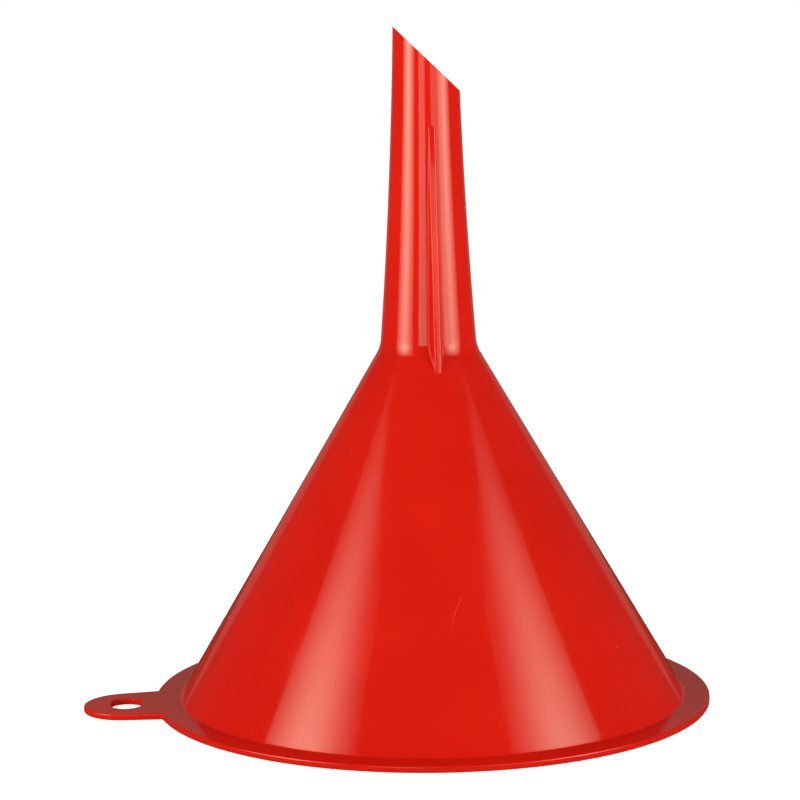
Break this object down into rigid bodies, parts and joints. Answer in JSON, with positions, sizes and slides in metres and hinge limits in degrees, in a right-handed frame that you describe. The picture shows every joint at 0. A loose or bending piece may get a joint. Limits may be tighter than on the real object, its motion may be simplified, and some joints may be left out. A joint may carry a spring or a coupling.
{
  "type": "funnel",
  "caption": "Filling funnel in glossy red plastic: a cone bowl with a flat rim, a flared spout with a slanted end, vent ribs and a hanging tab with a slot.",
  "frame": {"origin": "on the funnel's axis, in the plane of the rim's outer face that it stands on", "axes": "+Z along the axis from the mouth to the spout's tip, -X towards the hanging tab, the two vent ribs towards -Y and +Y, the high side of the slanted tip 11 degrees from -X towards +Y"},
  "size_m": [0.1363, 0.1208, 0.1452],
  "materials": {
    "red_plastic": "bright red polypropylene or polyethylene, glossy as moulded"
  },
  "bodies": {
    "root": {"bowl": "red_plastic", "neck": "red_plastic", "spout": "red_plastic", "rim_flange": "red_plastic", "hang_tab": "red_plastic", "vent_rib_front": "red_plastic", "vent_rib_back": "red_plastic"}
  },
  "joints": []
}
